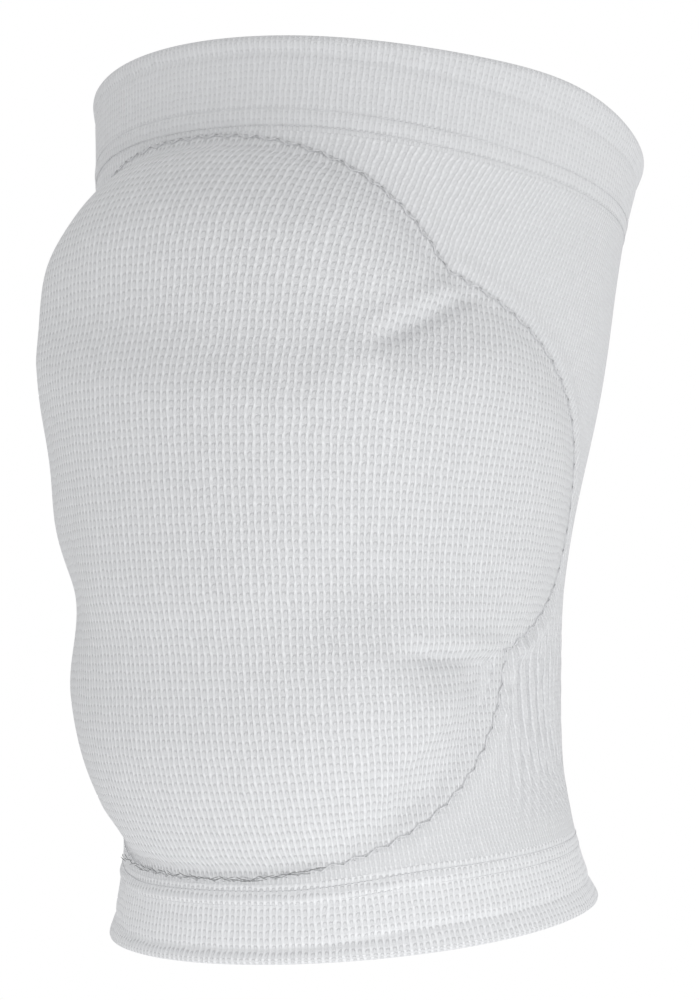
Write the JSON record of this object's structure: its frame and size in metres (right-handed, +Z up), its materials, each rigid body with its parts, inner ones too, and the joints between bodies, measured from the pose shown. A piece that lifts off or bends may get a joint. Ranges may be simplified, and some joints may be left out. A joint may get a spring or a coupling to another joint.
{
  "type": "volleyball knee pad",
  "caption": "Pull-on knitted knee pad: a bent tube with a folded hem at each end and a three-lobed foam pad, with darts and side wings, over the kneecap.",
  "frame": {"origin": "middle of the leg hollow at the height of the kneecap, where the pad sits on a leg", "axes": "+Z up the leg, towards the thigh; -Y is the way the kneecap faces; +X across the leg"},
  "size_m": [0.1384, 0.1565, 0.212],
  "materials": {
    "sleeve_knit": "fine ribbed knit, matt",
    "hem_knit": "doubled knit, matt",
    "pad_cover": "coarse knit over foam, matt"
  },
  "bodies": {
    "root": {"sleeve": "sleeve_knit", "top_hem": "hem_knit", "bottom_hem": "hem_knit", "knee_pad": "pad_cover"}
  },
  "joints": []
}
